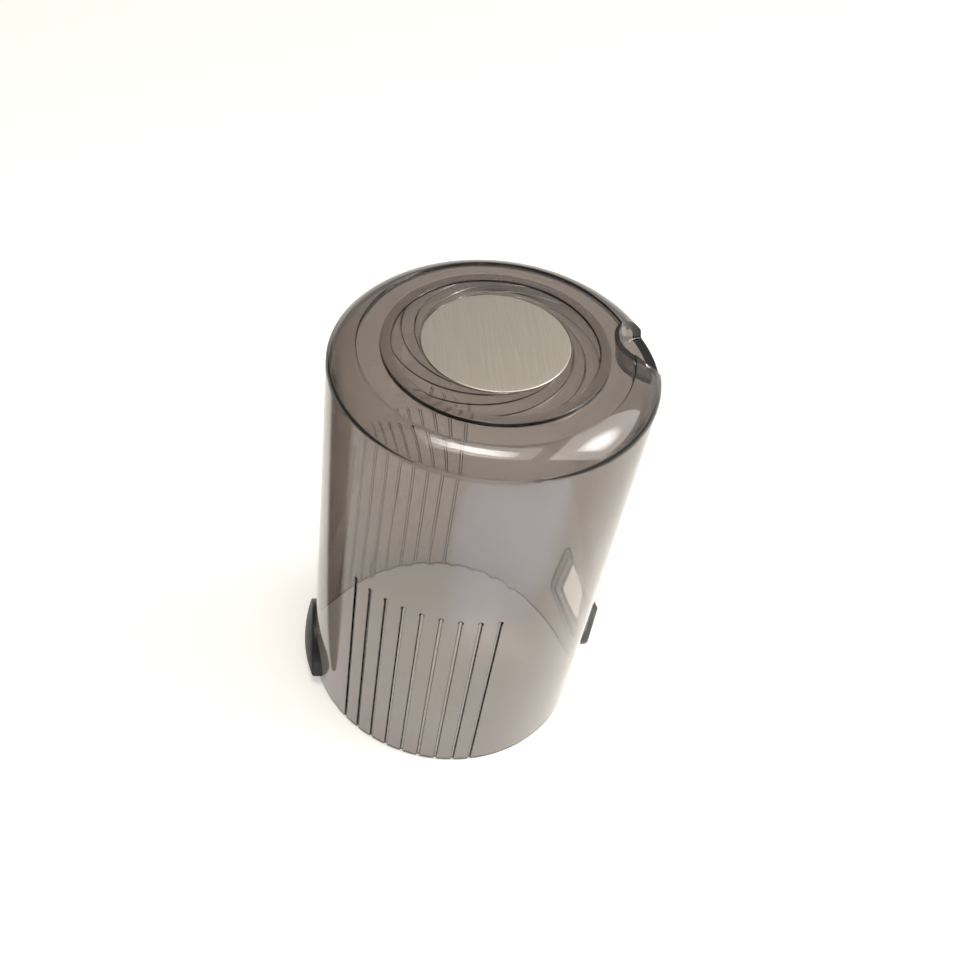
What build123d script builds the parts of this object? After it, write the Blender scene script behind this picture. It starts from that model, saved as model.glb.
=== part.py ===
from build123d import *
import os
from math import atan2, cos, degrees, radians, sin, sqrt

# Cyclone dust bin of a handstick vacuum cleaner, standing on its open mouth with the closed end up.
# Millimetres and degrees, +Z up, origin in the middle of the open rim.
# +X lies midway between the two groups of grip grooves, near the finger scoop, and the catch pad faces -X.

os.makedirs("parts", exist_ok=True)

# Cup wall
rim_radius = 49.0  # outside of the wall at the open rim
crown_radius = 48.0  # outside of the wall where it meets the shoulder
cup_height = 150.0  # open rim to the flat of the closed end
wall = 2.4
mouth_depth = 8.0  # straight land inside the mouth, where the cyclone's seal sits
rim_round = 0.6

# Shoulder between the wall and the flat of the closed end
shoulder_drop = 5.8
shoulder_run = 8.4  # how far in from the wall the flat begins
shoulder_bulge = 0.75  # how far the shoulder's arc stands out from its chord
shoulder_edge = 2.4  # outer rounding of the bend from the wall into the shoulder
shoulder_inner = 0.8  # inner rounding of that bend
flat_sink = 0.4  # how far the flat lies below the shoulder's inner edge
flat_step = 0.3  # how far in that small step slopes

# Round boss on the closed end, with the field of the swirl in it, which is sunk at the boss and climbs to the badge
boss_radius = 32.6
boss_rise = 1.0
boss_round = 0.35
field_radius = 29.4
field_sink = 0.6
field_rise = 1.1

# Swirl vanes, each an arc from the badge out to the boss
vane_count = 9
vane_turn = 95.0  # how far one vane runs round the axis
vane_lag = 0.38  # share of the way out that a vane has gone at half its turn
vane_width = 1.5
vane_rise = 0.5

# Badge disc and its seat
badge_radius = 21.2
badge_thickness = 1.2
badge_crown = 0.3
badge_clearance = 0.15
badge_seat_depth = 0.5

# Finger scoop in the corner of the closed end
scoop_angle = 5.0  # from +X, anticlockwise from above
scoop_radius = 11.6  # at the level of the flat
scoop_depth = 8.0
scoop_draft = 14.0
scoop_wall = 1.5

# Inlet port in the wall near the mouth, with a raised collar round it that has a flat face
port_angle = 11.0  # from +X, anticlockwise from above
port_low = 11.0  # near corner of the port's foot
port_rise = 8.0  # how much higher the foot lies on its far side, so that the air comes in on a helix
port_foot = 19.0  # width at the foot
port_head = 14.0  # width at the head
port_lean = -1.2  # how far the middle of the head lies off the middle of the foot
port_near_height = 28.0
port_far_height = 24.5
port_corner = 2.5
collar_wall = 3.8
collar_proud = 1.0  # how far the flat face lies outside the rim's radius
collar_turn = 6.0  # how far the face is turned from the port's own direction, towards the far side
collar_crest = 3.0  # how far outside the rim the slope at its upper end begins
collar_ramp = 10.0  # length of the slope at the collar's upper end

# Grip grooves, one group on each side of the plane through +X and the pad
groove_count = 9
groove_pitch = 7.2
groove_middle = 111.7  # middle of a group, from +X
groove_top = 83.0
groove_radius = 0.65
groove_depth = 1.0
groove_end = 0.9  # radius of the ball at the upper end of a groove

# Catch pad on the wall, opposite the scoop
pad_low = 5.0
pad_half_width = 16.5
pad_height = 15.5
pad_proud = 3.2
pad_round = 0.8
pad_bond = 0.1  # adhesive between the pad and the wall

# Levels and radii that follow from these
crease_z = cup_height - shoulder_drop
flat_radius = crown_radius - shoulder_run
boss_z = cup_height + boss_rise
field_z = boss_z - field_sink
field_top = field_z + field_rise
seat_z = field_top - badge_seat_depth
seat_radius = badge_radius + badge_clearance
mouth_radius = rim_radius - wall
ceiling_z = cup_height - wall
scoop_floor = cup_height - scoop_depth
scoop_floor_radius = scoop_radius - scoop_depth * sin(radians(scoop_draft))
scoop_middle = Vector(crown_radius, 0, 0).rotate(Axis.Z, scoop_angle)
wall_lean = degrees(atan2(rim_radius - crown_radius, crease_z))


def wall_radius(z):
    """Outer radius of the drafted wall at a height."""
    return rim_radius + (crown_radius - rim_radius) * z / crease_z


# The outside of the cup as one full body, which also trims what is built into its corner
with BuildPart() as envelope:
    with BuildSketch(Plane.XZ):
        with BuildLine():
            side = Polyline((0, 0), (rim_radius, 0), (crown_radius, crease_z))
            SagittaArc(side @ 1, (flat_radius, cup_height), -shoulder_bulge)
            Polyline(
                (flat_radius, cup_height),
                (flat_radius - flat_step, cup_height - flat_sink),
                (boss_radius, cup_height - flat_sink),
                (boss_radius, boss_z),
                (field_radius, boss_z),
                (field_radius, field_z),
                (seat_radius, field_top),
                (0, field_top),
                (0, 0),
            )
        make_face()
    revolve(axis=Axis.Z)
    rings = envelope.edges().filter_by(GeomType.CIRCLE)
    fillet(rings.filter_by(lambda edge: abs(edge.radius - crown_radius) < 0.01), shoulder_edge)
    rings = envelope.edges().filter_by(GeomType.CIRCLE).filter_by_position(Axis.Z, boss_z - 0.01, boss_z + 0.01)
    fillet(rings, boss_round)

# The inside of the cup as one full body: straight land at the mouth, drafted wall, arched shoulder, flat ceiling
with BuildPart() as hollow:
    with BuildSketch(Plane.XZ):
        with BuildLine():
            bore = Polyline(
                (0, 0),
                (mouth_radius, 0),
                (mouth_radius, mouth_depth),
                (crown_radius - wall, crease_z - wall / 2),
            )
            SagittaArc(bore @ 1, (flat_radius - wall / 4, ceiling_z), -shoulder_bulge)
            Polyline((flat_radius - wall / 4, ceiling_z), (0, ceiling_z), (0, 0))
        make_face()
    revolve(axis=Axis.Z)
    rings = hollow.edges().filter_by(GeomType.CIRCLE)
    fillet(rings.filter_by(lambda edge: abs(edge.radius - crown_radius + wall) < 0.01), shoulder_inner)

# One vane of the swirl, a low ridge on the sloping field with its steep side towards the badge
vane_path = []
for share_out, share_turned in ((0, 0), (vane_lag, 0.5), (1, 1)):
    radius = seat_radius + share_out * (field_radius - seat_radius)
    turned = radians(-vane_turn * share_turned)
    vane_path.append((radius * cos(turned), radius * sin(turned), field_top - share_out * field_rise))
with BuildPart() as swirl_vane:
    with BuildLine() as vane_run:
        ThreePointArc(*vane_path)
    with BuildSketch(Plane(origin=vane_run.line @ 0, x_dir=(1, 0, 0), z_dir=vane_run.line % 0)):
        with BuildLine():
            Polyline(
                (-0.2 * vane_width, vane_rise),
                (0.8 * vane_width, -vane_rise),
                (-0.3 * vane_width, -vane_rise),
                close=True,
            )
        make_face()
    sweep()

# Lining of the scoop, so that the cup stays closed behind it
with BuildPart() as scoop_lining:
    with Locations((scoop_middle.X, scoop_middle.Y, scoop_floor - scoop_wall)):
        Cone(
            scoop_floor_radius + scoop_wall,
            scoop_radius + scoop_wall,
            scoop_depth + scoop_wall,
            align=(Align.CENTER, Align.CENTER, Align.MIN),
        )
    add(envelope.part, mode=Mode.INTERSECT)

# Outline of the inlet port, drawn on a plane that faces along the port, with the foot wider than the head
port_direction = Vector(cos(radians(port_angle)), sin(radians(port_angle)), 0)
port_across = port_direction.rotate(Axis.Z, 90)
port_plane = Plane(origin=(0, 0, port_low), x_dir=port_across, z_dir=port_direction)
with BuildSketch() as port_outline:
    with BuildLine():
        Polyline(
            (-port_foot / 2, 0),
            (port_foot / 2, port_rise),
            (port_lean + port_head / 2, port_rise + port_far_height),
            (port_lean - port_head / 2, port_near_height),
            close=True,
        )
    make_face()
    fillet(port_outline.vertices(), port_corner)

# Collar round the port, with a slope down to the wall along its slanted upper edge
head_slope = (port_rise + port_far_height - port_near_height) / port_head
head_middle = port_low + port_near_height + head_slope * (port_head / 2 - port_lean)
collar_top = head_middle + collar_wall * sqrt(1 + head_slope**2)
slope_foot = rim_radius + collar_crest
face_direction = port_direction.rotate(Axis.Z, collar_turn)
face_plane = Plane(origin=face_direction * (rim_radius + collar_proud), z_dir=face_direction)
with BuildPart() as port_collar:
    with BuildSketch(port_plane.offset(mouth_radius / 2)):
        add(port_outline.sketch)
        offset(amount=collar_wall)
    extrude(amount=rim_radius)
    split(bisect_by=face_plane, keep=Keep.BOTTOM)
    with BuildSketch(Plane(origin=(0, 0, 0), x_dir=port_direction, z_dir=-port_across)):
        with BuildLine():
            Polyline(
                (mouth_radius, collar_top),
                (slope_foot, collar_top - collar_ramp),
                (slope_foot + collar_wall, collar_top - collar_ramp),
                (slope_foot + collar_wall, collar_top + collar_ramp),
                (mouth_radius, collar_top + collar_ramp),
                close=True,
            )
        make_face()
    slant_run = port_across + Vector(0, 0, head_slope)
    extrude(amount=port_foot + collar_wall, dir=slant_run.normalized(), both=True, mode=Mode.SUBTRACT)

# Ball-nosed cutter of one grip groove, upright on the axis
with BuildPart() as groove_cutter:
    with BuildSketch(Plane.XZ):
        with BuildLine():
            Polyline(
                (0, groove_top),
                (0, -groove_radius),
                (groove_radius, -groove_radius),
                (groove_radius, groove_top - groove_radius),
            )
            JernArc((groove_radius, groove_top - groove_radius), (0, 1), groove_radius, 90)
        make_face()
    revolve(axis=Axis.Z)
    with Locations((0, 0, groove_top - groove_end)):
        Sphere(groove_end)

# The cup, one clear moulding
with BuildPart() as dust_cup:
    add(envelope.part)
    add(port_collar.part)
    add(hollow.part, mode=Mode.SUBTRACT)
    rim_edges = dust_cup.edges().filter_by(GeomType.CIRCLE).group_by(Axis.Z)[0]
    fillet(rim_edges.sort_by(SortBy.RADIUS)[-1], rim_round)
    with PolarLocations(0, vane_count):
        add(swirl_vane.part)
    with Locations((0, 0, seat_z)):
        Cylinder(seat_radius, badge_thickness * 4, align=(Align.CENTER, Align.CENTER, Align.MIN), mode=Mode.SUBTRACT)
    add(scoop_lining.part)
    with Locations((scoop_middle.X, scoop_middle.Y, scoop_floor)):
        Cone(
            scoop_floor_radius,
            2 * scoop_radius - scoop_floor_radius,
            2 * scoop_depth,
            align=(Align.CENTER, Align.CENTER, Align.MIN),
            mode=Mode.SUBTRACT,
        )
    with BuildSketch(port_plane.offset(mouth_radius / 2)):
        add(port_outline.sketch)
    extrude(amount=rim_radius, mode=Mode.SUBTRACT)
    group_span = (groove_count - 1) * groove_pitch
    groove_axis = rim_radius - groove_depth + groove_radius
    for side_middle in (groove_middle, -groove_middle):
        with PolarLocations(groove_axis, groove_count, side_middle - group_span / 2, group_span, endpoint=True):
            add(groove_cutter.part, rotation=(0, -wall_lean, 0), mode=Mode.SUBTRACT)

# The badge, a thin disc with a low crown
with BuildPart() as end_badge:
    with BuildSketch(Plane.XZ):
        with BuildLine():
            badge_top = seat_z + badge_thickness
            Polyline(
                (0, badge_top), (0, seat_z), (badge_radius, seat_z), (badge_radius, badge_top - badge_crown)
            )
            TangentArc((0, badge_top), (badge_radius, badge_top - badge_crown), tangent=(1, 0))
        make_face()
    revolve(axis=Axis.Z)

# The catch pad, a half-round plate that swells out from the wall
pad_plane = Plane(origin=(0, 0, pad_low), x_dir=(0, -1, 0), z_dir=(-1, 0, 0))
with BuildPart() as catch_pad:
    with BuildSketch(Plane.XZ):
        with BuildLine():
            pad_top = pad_low + pad_height
            back = Line((wall_radius(0) + pad_bond, 0), (wall_radius(pad_top) + pad_bond, pad_top))
            Line(back @ 1, (wall_radius(pad_top) + 0.3 * pad_proud, pad_top))
            ThreePointArc(
                (wall_radius(pad_top) + 0.3 * pad_proud, pad_top),
                (wall_radius(pad_low + 0.55 * pad_height) + 0.95 * pad_proud, pad_low + 0.55 * pad_height),
                (wall_radius(0) + pad_proud, 0),
            )
            Line((wall_radius(0) + pad_proud, 0), back @ 0)
        make_face()
    revolve(axis=Axis.Z)
    with BuildSketch(pad_plane):
        Ellipse(pad_half_width, pad_height)
        with Locations((0, -pad_height)):
            Rectangle(4 * pad_half_width, 2 * pad_height, mode=Mode.SUBTRACT)
    extrude(amount=2 * rim_radius, mode=Mode.INTERSECT)
    pad_face = catch_pad.faces().sort_by(Axis.X)[0]
    fillet(pad_face.edges(), pad_round)

dust_cup.part.label = "dust_cup"
export_step(dust_cup.part, "parts/dust_cup.step")
end_badge.part.label = "end_badge"
export_step(end_badge.part, "parts/end_badge.step")
catch_pad.part.label = "catch_pad"
export_step(catch_pad.part, "parts/catch_pad.step")
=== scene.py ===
from math import acos, atan2, cos, hypot, pi, radians, sin, sqrt, tan

import bmesh
import bpy
from mathutils import Matrix, Vector


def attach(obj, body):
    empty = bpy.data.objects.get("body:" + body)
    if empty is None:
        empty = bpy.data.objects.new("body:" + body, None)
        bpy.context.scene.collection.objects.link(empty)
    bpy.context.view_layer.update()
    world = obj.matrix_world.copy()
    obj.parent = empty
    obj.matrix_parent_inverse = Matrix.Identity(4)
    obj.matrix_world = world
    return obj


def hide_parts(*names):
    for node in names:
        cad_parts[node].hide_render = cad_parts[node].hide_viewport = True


# Looks of the cyclone dust bin: a smoky clear cup that stands on its open mouth, with a brushed badge in the
# swirl of its closed end and a black catch pad low on one side. Sizes are in millimetres up to the MM factor.

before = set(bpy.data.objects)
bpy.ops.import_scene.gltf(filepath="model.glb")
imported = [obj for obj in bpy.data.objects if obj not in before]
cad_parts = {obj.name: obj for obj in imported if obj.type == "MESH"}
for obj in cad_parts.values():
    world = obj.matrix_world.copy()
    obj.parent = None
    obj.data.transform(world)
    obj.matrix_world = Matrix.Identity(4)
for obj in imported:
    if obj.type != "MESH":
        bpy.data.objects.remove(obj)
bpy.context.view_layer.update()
MM = 0.001

# Wall and mouth of the cup, as in the part's source
RIM_RADIUS = 49.0
CROWN_RADIUS = 48.0
CUP_HEIGHT = 150.0
WALL = 2.4
MOUTH_DEPTH = 8.0
MOUTH_RADIUS = RIM_RADIUS - WALL
RIM_ROUND = 0.6

# Shoulder between the wall and the closed end
SHOULDER_DROP = 5.8
SHOULDER_RUN = 8.4
SHOULDER_BULGE = 0.75
SHOULDER_EDGE = 2.4
SHOULDER_INNER = 0.8
SHOULDER_STEPS = 14
SHOULDER_INNER_STEPS = 12
CREASE_Z = CUP_HEIGHT - SHOULDER_DROP
WALL_LEAN = atan2(RIM_RADIUS - CROWN_RADIUS, CREASE_Z)

# Closed end: a sunk flat, the boss on it, and the ceiling inside, which is lifted under the swirl so that the
# wall is even
FLAT_RADIUS = CROWN_RADIUS - SHOULDER_RUN
FLAT_SINK = 0.4
FLAT_STEP = 0.3
FLAT_ROUND = 0.1
BOSS_RADIUS = 32.6
BOSS_RISE = 1.0
BOSS_ROUND = 0.35
BOSS_FOOT_ROUND = 0.25
BOSS_Z = CUP_HEIGHT + BOSS_RISE
CEILING_Z = CUP_HEIGHT - WALL
CEILING_LIFT = 1.2
CEILING_INNER = 25.0
CEILING_OUTER = 31.0
CEILING_ROUND = 4.0

# Swirl of vanes in the boss. A turn of the cup has a whole number of steps in each vane.
FIELD_RADIUS = 29.4
FIELD_SINK = 0.6
FIELD_RISE = 1.1
FIELD_Z = BOSS_Z - FIELD_SINK
FIELD_TOP = FIELD_Z + FIELD_RISE
VANE_COUNT = 9
VANE_TURN = 95.0
VANE_LAG = 0.38
VANE_RISE = 0.35
VANE_LINE = 0.28
VANE_STEPS = 32
BLADE_STEPS = 28
TURN_STEPS = VANE_COUNT * VANE_STEPS

# Badge and its seat in the middle of the swirl
BADGE_RADIUS = 21.2
BADGE_THICKNESS = 1.2
BADGE_CROWN = 0.3
BADGE_BULGE = 0.08
BADGE_ROUND = 0.3
BADGE_FOOT_ROUND = 0.15
BADGE_BOND = 0.03
BADGE_CROWN_STEPS = 12
BADGE_STEPS = 192
BADGE_SEAT_DEPTH = 0.5
SEAT_CLEARANCE = 0.15
SEAT_RADIUS = BADGE_RADIUS + SEAT_CLEARANCE
SEAT_Z = FIELD_TOP - BADGE_SEAT_DEPTH

# Finger scoop in the corner of the closed end, and the space in which its lining stays inside the cup
SCOOP_ANGLE = 5.0
SCOOP_RADIUS = 11.6
SCOOP_DEPTH = 8.0
SCOOP_DRAFT = 14.0
SCOOP_WALL = 1.5
SCOOP_ROUND = 0.8
SCOOP_STEPS = 128
SCOOP_FLOOR = CUP_HEIGHT - SCOOP_DEPTH
SCOOP_FLOOR_RADIUS = SCOOP_RADIUS - SCOOP_DEPTH * sin(radians(SCOOP_DRAFT))
SCOOP_MIDDLE = (CROWN_RADIUS * cos(radians(SCOOP_ANGLE)), CROWN_RADIUS * sin(radians(SCOOP_ANGLE)))
LINING_LOW = 130.0
LINING_RADIUS = 46.9
LINING_CREASE = 143.0
LINING_FLAT_RADIUS = 38.8
LINING_TOP = 148.6

# Inlet port with its slanted edges, and the collar round it
PORT_ANGLE = 11.0
PORT_LOW = 11.0
PORT_RISE = 8.0
PORT_FOOT = 19.0
PORT_HEAD = 14.0
PORT_LEAN = -1.2
PORT_NEAR_HEIGHT = 28.0
PORT_FAR_HEIGHT = 24.5
PORT_CORNER = 2.5
PORT_START = 40.0
PORT_DEPTH = 20.0
COLLAR_WALL = 3.8
COLLAR_ROOT = 46.75
COLLAR_DEPTH = 10.0
COLLAR_PROUD = 1.0
COLLAR_TURN = 6.0
COLLAR_CREST = 3.0
COLLAR_REACH = 2.0
COLLAR_DROP = 3.5
COLLAR_RAMP = 10.0

# Block that gives the collar its flat face, and the room that the cutter of its slope takes outside it
BLOCK_HALF_WIDTH = 40.0
BLOCK_LOW = 0.5
BLOCK_HIGH = 60.0
BLOCK_DEPTH = 20.0
SLOPE_ROOM = 6.0
SLOPE_HEADROOM = 8.0

# Grip grooves, two groups that run out at the rim
GROOVE_COUNT = 9
GROOVE_PITCH = 7.2
GROOVE_MIDDLE = 111.7
GROOVE_TOP = 83.0
GROOVE_RADIUS = 0.65
GROOVE_DEPTH = 1.0
GROOVE_END = 0.9
GROOVE_FOOT = -2.0
GROOVE_SIDES = 32
GROOVE_END_STEPS = 12

# Points nearer than MERGE become one, and those within ON_LINE of a line lie on it. Angles are in degrees.
MERGE = 0.004
ON_LINE = 0.01
ARC_STEP = 11.0
CUP_SMOOTH = 14.0
BADGE_SMOOTH = 20.0


def rounded(path, closed=False):
    """Points along a path of (x, y, radius) corners, each corner with its radius turned into an arc."""
    points = []
    for i, (x, y, radius) in enumerate(path):
        at = Vector((x, y))
        if radius == 0 or (not closed and i in (0, len(path) - 1)):
            points.append((x, y))
            continue
        before = Vector(path[i - 1][:2]) - at
        after = Vector(path[(i + 1) % len(path)][:2]) - at
        half = before.angle(after) / 2
        reach = radius / tan(half)
        middle = at + (before.normalized() + after.normalized()).normalized() * (radius / sin(half))
        start = at + before.normalized() * reach - middle
        turn = start.angle_signed(at + after.normalized() * reach - middle)
        steps = max(2, round(abs(turn) / radians(ARC_STEP)))
        for k in range(steps + 1):
            a = -turn * k / steps
            arc_x = middle.x + start.x * cos(a) - start.y * sin(a)
            arc_y = middle.y + start.x * sin(a) + start.y * cos(a)
            points.append((arc_x, arc_y))
    return points


def bowed(start, end, bulge, steps):
    """Points of a shallow arc from start to end that stands out from its chord to the right of the way."""
    a, b = Vector(start), Vector(end)
    chord = b - a
    radius = (chord.length**2 / 4 + bulge**2) / (2 * bulge)
    right = Vector((chord.y, -chord.x)).normalized()
    middle = (a + b) / 2 - right * (radius - bulge)
    arm = a - middle
    turn = arm.angle(b - middle)
    points = []
    for k in range(steps + 1):
        t = turn * k / steps
        arc_x = middle.x + arm.x * cos(t) - arm.y * sin(t)
        arc_y = middle.y + arm.x * sin(t) + arm.y * cos(t)
        points.append((arc_x, arc_y))
    return points


def pick(*pieces):
    """Selects pieces and nothing else, and makes the first one active."""
    bpy.ops.object.select_all(action="DESELECT")
    for piece in pieces:
        piece.select_set(True)
    bpy.context.view_layer.objects.active = pieces[0]


def draw(name, points):
    """A new piece, left in edit mode: one point, extruded along a row of points in millimetres."""
    bpy.ops.object.select_all(action="DESELECT")
    bpy.ops.mesh.primitive_plane_add(size=MM)
    piece = bpy.context.object
    piece.name = name
    piece.data.name = name
    bpy.ops.object.mode_set(mode="EDIT")
    bpy.ops.mesh.select_all(action="SELECT")
    bpy.ops.mesh.merge(type="CENTER")
    row = [Vector(p) * MM for p in points]
    bpy.ops.transform.translate(value=row[0])
    for here, there in zip(row, row[1:]):
        bpy.ops.mesh.extrude_vertices_move(TRANSFORM_OT_translate={"value": there - here})
    return piece


def close_up():
    """Merges the doubles of the piece in edit mode, turns its faces outwards and leaves edit mode."""
    bpy.ops.mesh.select_all(action="SELECT")
    bpy.ops.mesh.remove_doubles(threshold=MERGE * MM)
    bpy.ops.mesh.normals_make_consistent(inside=False)
    bpy.ops.object.mode_set(mode="OBJECT")


def fill():
    """Fills the outline of the piece in edit mode."""
    bpy.ops.mesh.select_all(action="SELECT")
    bpy.ops.mesh.edge_face_add()


def thicken(run):
    """Fills the outline of the piece in edit mode, extrudes it along a run and closes the piece."""
    fill()
    bpy.ops.mesh.extrude_region_move(TRANSFORM_OT_translate={"value": run * MM})
    close_up()


def lathe(name, profile, middle=(0, 0), steps=TURN_STEPS):
    """A piece turned about an upright axis, from a profile of (radius, height) points."""
    piece = draw(name, [(middle[0] + r, middle[1], z) for r, z in profile])
    bpy.ops.mesh.select_all(action="SELECT")
    centre = (middle[0] * MM, middle[1] * MM, 0)
    bpy.ops.mesh.spin(steps=steps, angle=2 * pi, center=centre, axis=(0, 0, 1))
    close_up()
    return piece


def prism(name, outline, away, depth, direction):
    """A flat outline of (across, up) points, set up at a distance from the axis and extruded outwards."""
    out = Vector((cos(radians(direction)), sin(radians(direction)), 0))
    across = Vector((-out.y, out.x, 0))
    piece = draw(name, [out * away + across * u + Vector((0, 0, v)) for u, v in outline])
    thicken(out * depth)
    return piece


def bar(name, points, radius):
    """A round bar bent along a row of points."""
    draw(name, points)
    bpy.ops.object.mode_set(mode="OBJECT")
    bpy.ops.object.convert(target="CURVE")
    piece = bpy.context.object
    piece.data.bevel_depth = radius * MM
    piece.data.bevel_resolution = 2
    piece.data.use_fill_caps = True
    bpy.ops.object.convert(target="MESH")
    piece = bpy.context.object
    bpy.ops.object.mode_set(mode="EDIT")
    close_up()
    return piece


def copies(piece, angles):
    """Copies of a piece turned about the upright axis, in place of the piece itself."""
    made = []
    for angle in angles:
        pick(piece)
        bpy.ops.object.duplicate()
        copy = bpy.context.object
        copy.rotation_euler = (0, 0, radians(angle))
        bpy.ops.object.transform_apply(rotation=True)
        made.append(copy)
    bpy.data.objects.remove(piece)
    return made


def cut(piece, tool, operation):
    """Joins a tool to a piece, takes it away or keeps the overlap, and deletes the tool."""
    pick(piece)
    step = piece.modifiers.new("cut", "BOOLEAN")
    step.operation = operation
    step.solver = "EXACT"
    step.object = tool
    bpy.ops.object.modifier_apply(modifier=step.name)
    bpy.data.objects.remove(tool)


def join(piece, others):
    """Makes several pieces one mesh."""
    pick(piece, *others)
    bpy.ops.object.join()


def select_points(piece, wanted):
    """In edit mode, selects the points of a piece for which wanted is true, and the edges between them."""
    bpy.ops.mesh.select_all(action="DESELECT")
    bpy.ops.mesh.select_mode(type="VERT")
    shape = bmesh.from_edit_mesh(piece.data)
    for point in shape.verts:
        point.select = wanted(point.co / MM)
    shape.select_flush(True)
    bmesh.update_edit_mesh(piece.data)


# Cup from the ceiling's middle down the inside, round the rim and up over the shoulder to the boss, turned as
# one shell
inner_crease = (CROWN_RADIUS - WALL, CREASE_Z - WALL / 2)
inner_flat = (FLAT_RADIUS - WALL / 4, CEILING_Z)
shoulder_in = bowed(inner_crease, inner_flat, SHOULDER_BULGE, SHOULDER_INNER_STEPS)
shoulder_out = bowed((CROWN_RADIUS, CREASE_Z), (FLAT_RADIUS, CUP_HEIGHT), SHOULDER_BULGE, SHOULDER_STEPS)
cup_path = [
    (0, CEILING_Z + CEILING_LIFT, 0),
    (CEILING_INNER, CEILING_Z + CEILING_LIFT, CEILING_ROUND),
    (CEILING_OUTER, CEILING_Z, CEILING_ROUND),
]
cup_path += [(*p, 0) for p in shoulder_in[:1:-1]]
cup_path += [
    (*shoulder_in[0], SHOULDER_INNER),
    (MOUTH_RADIUS, MOUTH_DEPTH, 0),
    (MOUTH_RADIUS, 0, 0),
    (RIM_RADIUS, 0, RIM_ROUND),
    (*shoulder_out[0], SHOULDER_EDGE),
]
cup_path += [(*p, 0) for p in shoulder_out[3:]]
cup_path += [
    (FLAT_RADIUS - FLAT_STEP, CUP_HEIGHT - FLAT_SINK, FLAT_ROUND),
    (BOSS_RADIUS, CUP_HEIGHT - FLAT_SINK, BOSS_FOOT_ROUND),
    (BOSS_RADIUS, BOSS_Z, BOSS_ROUND),
    (FIELD_RADIUS, BOSS_Z, BOSS_ROUND),
    (FIELD_RADIUS, FIELD_Z, 0),
]
cup = lathe("clear_cup", rounded(cup_path))
seat = lathe("badge_seat", [(SEAT_RADIUS, FIELD_TOP), (SEAT_RADIUS, SEAT_Z), (0, SEAT_Z)])

# Swirl: a blade lies between two arcs and climbs from the first to the second, and a step leads down to the
# next blade
arc_points = []
for share_out, share_turned in ((0, 0), (VANE_LAG, 0.5), (1, 1)):
    radius = SEAT_RADIUS + share_out * (FIELD_RADIUS - SEAT_RADIUS)
    turned = radians(-VANE_TURN * share_turned)
    level = FIELD_TOP - share_out * FIELD_RISE
    arc_points.append(Vector((radius * cos(turned), radius * sin(turned), level)))
first, second, third = arc_points
a, b = second - first, third - first
tilt = a.cross(b)
arc_middle = first + (b * a.length_squared - a * b.length_squared).cross(tilt) / (2 * tilt.length_squared)
sweep = (first - arc_middle).angle(third - arc_middle)
blade_row = []
for k in range(BLADE_STEPS + 1):
    blade_row.append(arc_middle + Matrix.Rotation(sweep * k / BLADE_STEPS, 3, tilt) @ (first - arc_middle))
swirl = draw("swirl_field", blade_row)
bpy.ops.object.mode_set(mode="OBJECT")
climb = swirl.modifiers.new("climb", "SCREW")
climb.angle = 2 * pi / VANE_COUNT
climb.screw_offset = VANE_RISE * MM
climb.steps = VANE_STEPS
climb.render_steps = VANE_STEPS
climb.use_merge_vertices = False
bpy.ops.object.modifier_apply(modifier=climb.name)
bpy.ops.object.mode_set(mode="EDIT")
select_points(swirl, lambda p: min((p - q).length for q in blade_row) < ON_LINE)
bpy.ops.mesh.extrude_edges_move(TRANSFORM_OT_translate={"value": (0, 0, VANE_RISE * MM)})
for edge_radius, level in ((SEAT_RADIUS, FIELD_TOP), (FIELD_RADIUS, FIELD_Z)):
    select_points(swirl, lambda p: abs(hypot(p.x, p.y) - edge_radius) < ON_LINE)
    bpy.ops.transform.resize(value=(1, 1, 0), center_override=(0, 0, level * MM))
bpy.ops.mesh.select_all(action="SELECT")
around = 2 * pi * (VANE_COUNT - 1) / VANE_COUNT
bpy.ops.mesh.spin(steps=VANE_COUNT - 1, dupli=True, angle=around, center=(0, 0, 0), axis=(0, 0, 1))
bpy.ops.object.mode_set(mode="OBJECT")
join(cup, [seat, swirl])
bpy.ops.object.mode_set(mode="EDIT")
close_up()

# Corners of the inlet port, as (across, up), and those of the collar, which reaches further on the near side
near_foot = -PORT_FOOT / 2
near_head = PORT_LEAN - PORT_HEAD / 2
near_high = PORT_LOW + PORT_NEAR_HEIGHT
far_foot = (PORT_FOOT / 2, PORT_LOW + PORT_RISE)
far_head = (PORT_LEAN + PORT_HEAD / 2, PORT_LOW + PORT_RISE + PORT_FAR_HEIGHT)
port_corners = [(near_foot, PORT_LOW), far_foot, far_head, (near_head, near_high)]
collar_foot = (near_foot - COLLAR_REACH, PORT_LOW - COLLAR_DROP)
collar_corners = [collar_foot, far_foot, far_head, (near_head - COLLAR_REACH, near_high)]


def let_out(outline, margin):
    """A slanted outline of (across, up) corners, let out by a margin, with its corners rounded."""
    corners = []
    for i, corner in enumerate(outline):
        at = Vector(corner)
        before = (at - Vector(outline[i - 1])).normalized()
        after = (Vector(outline[(i + 1) % len(outline)]) - at).normalized()
        out_before = Vector((before.y, -before.x))
        out_after = Vector((after.y, -after.x))
        at += (out_before + out_after) * margin / (1 + out_before.dot(out_after))
        corners.append((at.x, at.y, PORT_CORNER + margin))
    return rounded(corners, closed=True)


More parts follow.
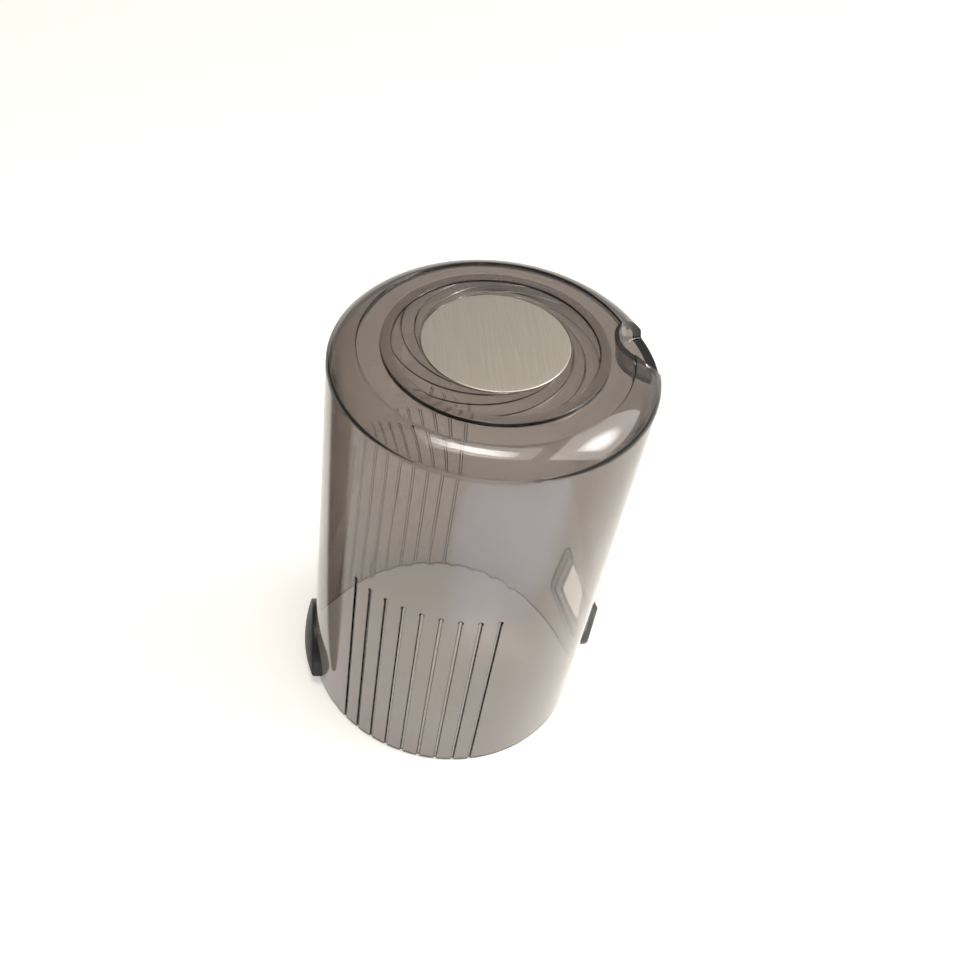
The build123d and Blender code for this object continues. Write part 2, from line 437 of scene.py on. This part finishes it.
# Flat-faced collar round the port, with a slope down to the wall along its slanted upper edge
collar = prism("port_collar", let_out(collar_corners, COLLAR_WALL), COLLAR_ROOT, COLLAR_DEPTH, PORT_ANGLE)
face_block = [
    (-BLOCK_HALF_WIDTH, BLOCK_LOW),
    (BLOCK_HALF_WIDTH, BLOCK_LOW),
    (BLOCK_HALF_WIDTH, BLOCK_HIGH),
    (-BLOCK_HALF_WIDTH, BLOCK_HIGH),
]
block_start = RIM_RADIUS + COLLAR_PROUD - BLOCK_DEPTH
collar_limit = prism("collar_limit", face_block, block_start, BLOCK_DEPTH, PORT_ANGLE + COLLAR_TURN)
cut(collar, collar_limit, "INTERSECT")
head_slope = (PORT_RISE + PORT_FAR_HEIGHT - PORT_NEAR_HEIGHT) / PORT_HEAD
head_middle = PORT_LOW + PORT_NEAR_HEIGHT + head_slope * (PORT_HEAD / 2 - PORT_LEAN)
collar_top = head_middle + COLLAR_WALL * sqrt(1 + head_slope**2)
out = Vector((cos(radians(PORT_ANGLE)), sin(radians(PORT_ANGLE)), 0))
slant_run = Vector((-out.y, out.x, head_slope)) * (PORT_FOOT + COLLAR_WALL)
slope_foot = RIM_RADIUS + COLLAR_CREST
wedge_row = []
for away, level in (
    (MOUTH_RADIUS, 0),
    (slope_foot, -COLLAR_RAMP),
    (slope_foot + SLOPE_ROOM, -COLLAR_RAMP),
    (slope_foot + SLOPE_ROOM, SLOPE_HEADROOM),
    (MOUTH_RADIUS, SLOPE_HEADROOM),
):
    wedge_row.append(out * away + Vector((0, 0, collar_top + level)) - slant_run)
wedge = draw("collar_slope", wedge_row)
thicken(slant_run * 2)
cut(collar, wedge, "DIFFERENCE")
cut(cup, collar, "UNION")


def scoop_plug(name, floor, floor_radius, top, top_radius):
    """A tapered plug with a rounded foot, turned about the scoop's own axis."""
    path = [(0, floor, 0), (floor_radius, floor, SCOOP_ROUND), (top_radius, top, 0), (0, top, 0)]
    return lathe(name, rounded(path), middle=SCOOP_MIDDLE, steps=SCOOP_STEPS)


# Lining of the finger scoop, which keeps the cup closed behind it
lining_floor = SCOOP_FLOOR - SCOOP_WALL
lining_foot = SCOOP_FLOOR_RADIUS + SCOOP_WALL
lining = scoop_plug("scoop_lining", lining_floor, lining_foot, CUP_HEIGHT, SCOOP_RADIUS + SCOOP_WALL)
lining_profile = [
    (0, LINING_LOW),
    (LINING_RADIUS, LINING_LOW),
    (LINING_RADIUS, LINING_CREASE),
    (LINING_FLAT_RADIUS, LINING_TOP),
    (0, LINING_TOP),
]
lining_limit = lathe("lining_limit", lining_profile)
cut(lining, lining_limit, "INTERSECT")
cut(cup, lining, "UNION")

# Scoop, port, grip grooves and the fine lines along the vanes are cut together
cutter_top = SCOOP_FLOOR + 2 * SCOOP_DEPTH
cutter_top_radius = 2 * SCOOP_RADIUS - SCOOP_FLOOR_RADIUS
scoop_cutter = scoop_plug("scoop_cutter", SCOOP_FLOOR, SCOOP_FLOOR_RADIUS, cutter_top, cutter_top_radius)
port_cutter = prism("port_cutter", let_out(port_corners, 0), PORT_START, PORT_DEPTH, PORT_ANGLE)
groove_axis = RIM_RADIUS - GROOVE_DEPTH + GROOVE_RADIUS
ball_middle = GROOVE_TOP - GROOVE_END
groove_row = [(0, GROOVE_FOOT), (GROOVE_RADIUS, GROOVE_FOOT)]
for k in range(GROOVE_END_STEPS + 1):
    share = k / GROOVE_END_STEPS
    turned = pi / 2 * k / GROOVE_END_STEPS - acos(GROOVE_RADIUS / GROOVE_END) * (1 - share)
    groove_row.append((GROOVE_END * cos(turned), ball_middle + GROOVE_END * sin(turned)))
groove = lathe("groove_cutter", groove_row, steps=GROOVE_SIDES)
groove.location = (groove_axis * MM, 0, 0)
groove.rotation_euler = (0, -WALL_LEAN, 0)
bpy.ops.object.transform_apply(location=True, rotation=True)
groove_turns = [GROOVE_PITCH * (k - (GROOVE_COUNT - 1) / 2) for k in range(GROOVE_COUNT)]
grooves = copies(groove, [side + turn for side in (GROOVE_MIDDLE, -GROOVE_MIDDLE) for turn in groove_turns])
vane_line = bar("vane_line", blade_row, VANE_LINE)
vane_lines = copies(vane_line, [360 / VANE_COUNT * k for k in range(VANE_COUNT)])
join(scoop_cutter, [port_cutter] + grooves + vane_lines)
cut(cup, scoop_cutter, "DIFFERENCE")
bpy.ops.object.mode_set(mode="EDIT")
bpy.ops.mesh.select_all(action="SELECT")
bpy.ops.mesh.dissolve_degenerate(threshold=MERGE * MM)
close_up()
bpy.ops.object.shade_smooth_by_angle(angle=radians(CUP_SMOOTH))

# Badge, a thin disc with a low crown and a broken edge
badge_low = SEAT_Z + BADGE_BOND
badge_top = SEAT_Z + BADGE_THICKNESS
crown_row = bowed((BADGE_RADIUS, badge_top - BADGE_CROWN), (0, badge_top), BADGE_BULGE, BADGE_CROWN_STEPS)
badge_path = [(0, badge_low, 0), (BADGE_RADIUS, badge_low, BADGE_FOOT_ROUND), (*crown_row[0], BADGE_ROUND)]
badge_path += [(*p, 0) for p in crown_row[1:]]
badge = lathe("badge_disc", rounded(badge_path), steps=BADGE_STEPS)
bpy.ops.object.shade_smooth_by_angle(angle=radians(BADGE_SMOOTH))


def linear(code):
    """Linear colour of an sRGB hex code."""
    parts = [int(code[i : i + 2], 16) / 255 for i in (0, 2, 4)]
    return [p / 12.92 if p <= 0.04045 else ((p + 0.055) / 1.055) ** 2.4 for p in parts] + [1.0]


def add(tree, kind, settings=(), links=()):
    """Adds a node, sets its sockets or properties by name, and links other nodes' outputs to its inputs."""
    node = tree.nodes.new(kind)
    for name, value in dict(settings).items():
        if name in node.inputs:
            node.inputs[name].default_value = value
        else:
            setattr(node, name, value)
    for name, output in dict(links).items():
        tree.links.new(output, node.inputs[name])
    return node


def new_material(name):
    """An empty material and its output node."""
    material = bpy.data.materials.new(name)
    material.use_nodes = True
    material.node_tree.nodes.clear()
    return material, material.node_tree, material.node_tree.nodes.new("ShaderNodeOutputMaterial")


# Clear styrene moulding with a smoke tint: a polished skin with clean reflections, and a body that takes more
# light, and more blue than red, the further light goes through it, so that edges and thick places turn dark
# brown.
smoke, tree, output = new_material("smoke_clear_styrene")
polish = {"Base Color": linear("ffffff"), "Roughness": 0.02, "IOR": 1.57, "Transmission Weight": 1.0}
skin = add(tree, "ShaderNodeBsdfPrincipled", polish)
body = add(tree, "ShaderNodeVolumeAbsorption", {"Color": linear("907d6e"), "Density": 455.0})
tree.links.new(skin.outputs["BSDF"], output.inputs["Surface"])
tree.links.new(body.outputs["Volume"], output.inputs["Volume"])
cup.data.materials.append(smoke)

# Brushed aluminium with a champagne lacquer: fine straight lines along one direction, and soft streaky
# reflections. Real brush lines are too fine to show here, so they are drawn about 0.24 mm wide and 17 mm
# long.
BRUSH_ACROSS = 4.2 / MM
BRUSH_ALONG = 0.06 / MM
brushed, tree, output = new_material("brushed_aluminium")
place = add(tree, "ShaderNodeTexCoord")
stretch_by = {"Scale": (BRUSH_ACROSS, BRUSH_ALONG, 1)}
stretch = add(tree, "ShaderNodeMapping", stretch_by, {"Vector": place.outputs["Object"]})
lines = add(tree, "ShaderNodeTexNoise", {"Scale": 1.0, "Detail": 3.0}, {"Vector": stretch.outputs["Vector"]})
tone = add(tree, "ShaderNodeValToRGB", (), {"Fac": lines.outputs["Fac"]})
tone.color_ramp.elements[0].color = linear("b5ac9e")
tone.color_ramp.elements[1].color = linear("d9d1c3")
brush_depth = {"Strength": 0.12, "Distance": 0.02 * MM}
relief = add(tree, "ShaderNodeBump", brush_depth, {"Height": lines.outputs["Fac"]})
brush_links = {"Base Color": tone.outputs["Color"], "Normal": relief.outputs["Normal"]}
metal = add(tree, "ShaderNodeBsdfPrincipled", {"Metallic": 1.0, "Roughness": 0.42}, brush_links)
tree.links.new(metal.outputs["BSDF"], output.inputs["Surface"])
badge.data.materials.append(brushed)

# Black rubber-like ABS, moulded with a satin face: dark, with one broad soft highlight. The grain of the
# mould is about half a millimetre.
MOULD_GRAIN = 1.8 / MM
satin, tree, output = new_material("satin_black_abs")
place = add(tree, "ShaderNodeTexCoord")
grain_size = {"Scale": MOULD_GRAIN, "Detail": 2.0}
grain = add(tree, "ShaderNodeTexNoise", grain_size, {"Vector": place.outputs["Object"]})
grain_depth = {"Strength": 0.15, "Distance": 0.05 * MM}
relief = add(tree, "ShaderNodeBump", grain_depth, {"Height": grain.outputs["Fac"]})
satin_face = {"Base Color": linear("0b0b0b"), "Roughness": 0.45}
face = add(tree, "ShaderNodeBsdfPrincipled", satin_face, {"Normal": relief.outputs["Normal"]})
tree.links.new(face.outputs["BSDF"], output.inputs["Surface"])
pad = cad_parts["catch_pad"]
pad.data.materials.clear()
pad.data.materials.append(satin)

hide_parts("dust_cup")
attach(cup, "root")
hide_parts("end_badge")
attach(badge, "root")

# Pale floor, a matt white paper with a little light of its own, so that it stays white round the cup
paper, tree, output = new_material("matt_white_paper")
glow = {"Emission Color": linear("fff9f1"), "Emission Strength": 0.43}
sheet = add(tree, "ShaderNodeBsdfPrincipled", {"Base Color": linear("f4f1eb"), "Roughness": 0.9, **glow})
tree.links.new(sheet.outputs["BSDF"], output.inputs["Surface"])
bpy.ops.object.select_all(action="DESELECT")
bpy.ops.mesh.primitive_plane_add(size=4, location=(0, 0, -0.2 * MM))
floor = bpy.context.object
floor.name = "floor"
floor.data.materials.append(paper)

# Black card that lies left of the cup and shows only in reflections: a soft dark band down the left of the
# wall. It is a fan, and its sides fade in and out at these shares of a turn round its apex.
FAN_APEX = (0.05, 0.02, 0)
FAN_START, FAN_FULL, FAN_FADE, FAN_END = 0.835, 0.865, 0.935, 0.965
CARD_CORNERS = [(-52, -16, 0.3), (-150, 185, 0.3), (-290, 35, 0.3), (-56, -22, 0.3)]
black, tree, output = new_material("black_card")
place = add(tree, "ShaderNodeTexCoord")
apex = add(tree, "ShaderNodeMapping", {"Location": FAN_APEX}, {"Vector": place.outputs["Object"]})
fan = add(tree, "ShaderNodeTexGradient", {"gradient_type": "RADIAL"}, {"Vector": apex.outputs["Vector"]})
edge = add(tree, "ShaderNodeValToRGB", (), {"Fac": fan.outputs["Fac"]})
edge.color_ramp.interpolation = "EASE"
edge.color_ramp.elements[0].position = FAN_START
edge.color_ramp.elements[1].position = FAN_END
edge.color_ramp.elements[1].color = linear("000000")
for position in (FAN_FULL, FAN_FADE):
    edge.color_ramp.elements.new(position).color = linear("ffffff")
clear = add(tree, "ShaderNodeBsdfTransparent")
card = add(tree, "ShaderNodeBsdfPrincipled", {"Base Color": linear("0d0d10"), "Roughness": 0.9})
blend = add(tree, "ShaderNodeMixShader", (), {"Fac": edge.outputs["Color"]})
tree.links.new(clear.outputs["BSDF"], blend.inputs[1])
tree.links.new(card.outputs["BSDF"], blend.inputs[2])
tree.links.new(blend.outputs["Shader"], output.inputs["Surface"])
flag = draw("floor_flag", CARD_CORNERS)
fill()
bpy.ops.object.mode_set(mode="OBJECT")
flag.visible_camera = False
flag.visible_diffuse = False
flag.visible_transmission = False
flag.visible_shadow = False
flag.data.materials.append(black)


def softbox(name, place, target, size, power, colour, spread=180):
    """A rectangular soft light that faces a point. With a narrow spread its reflection has soft edges."""
    lamp = bpy.data.lights.new(name, "AREA")
    lamp.shape = "RECTANGLE"
    lamp.size, lamp.size_y = size
    lamp.energy = power
    lamp.color = colour
    lamp.spread = radians(spread)
    item = bpy.data.objects.new(name, lamp)
    bpy.context.scene.collection.objects.link(item)
    item.location = place
    item.rotation_euler = (Vector(target) - Vector(place)).to_track_quat("-Z", "Y").to_euler()


# Soft light from above and from the right, each with a brighter core for its highlight on the shoulder, and a
# cool patch of window light on the floor in front of the cup, which the wall mirrors
softbox("top_light", (-0.02, -0.12, 1.2), (0, 0, 0.1), (0.85, 0.4), 2.3, (1, 0.98, 0.95))
softbox("top_core", (-0.04, -0.12, 1.19), (0, 0, 0.1), (0.6, 0.18), 0.22, (1, 0.98, 0.95), 38)
softbox("key_light", (0.62, -0.03, 0.67), (0, 0, 0.02), (0.6, 0.6), 3.5, (1, 0.98, 0.96))
softbox("key_core", (0.58, -0.03, 0.63), (0.02, 0, 0.13), (0.3, 0.3), 0.09, (1, 0.99, 0.98), 26)
softbox("window_light", (0.1, -0.42, 0.4), (0.06, -0.18, 0), (0.13, 0.02), 3.2, (0.52, 0.68, 1), 14)

# Room that is dim on the left and light on the right
world = bpy.data.worlds.new("studio")
bpy.context.scene.world = world
world.use_nodes = True
tree = world.node_tree
way = add(tree, "ShaderNodeTexCoord")
split = add(tree, "ShaderNodeSeparateXYZ", (), {"Vector": way.outputs["Generated"]})
fade_ends = {"From Min": -0.5, "From Max": 0.8, "To Min": 0.3, "To Max": 0.7}
fade = add(tree, "ShaderNodeMapRange", fade_ends, {"Value": split.outputs["X"]})
tree.nodes["Background"].inputs["Color"].default_value = (1, 0.985, 0.96, 1)
tree.links.new(fade.outputs["Result"], tree.nodes["Background"].inputs["Strength"])

# Camera where the photograph was taken from, with the lens shift that the photograph's framing needs
eye = bpy.data.cameras.new("camera")
eye.lens = 41.803
eye.sensor_width = 36
eye.shift_x = 0.2083
eye.shift_y = 0.0792
camera = bpy.data.objects.new("camera", eye)
bpy.context.scene.collection.objects.link(camera)
camera.location = (-0.05719, -0.24771, 0.35758)
camera.rotation_euler = (radians(39.408), radians(0.496), radians(0.464))
bpy.context.scene.camera = camera
bpy.context.scene.view_settings.view_transform = "Standard"
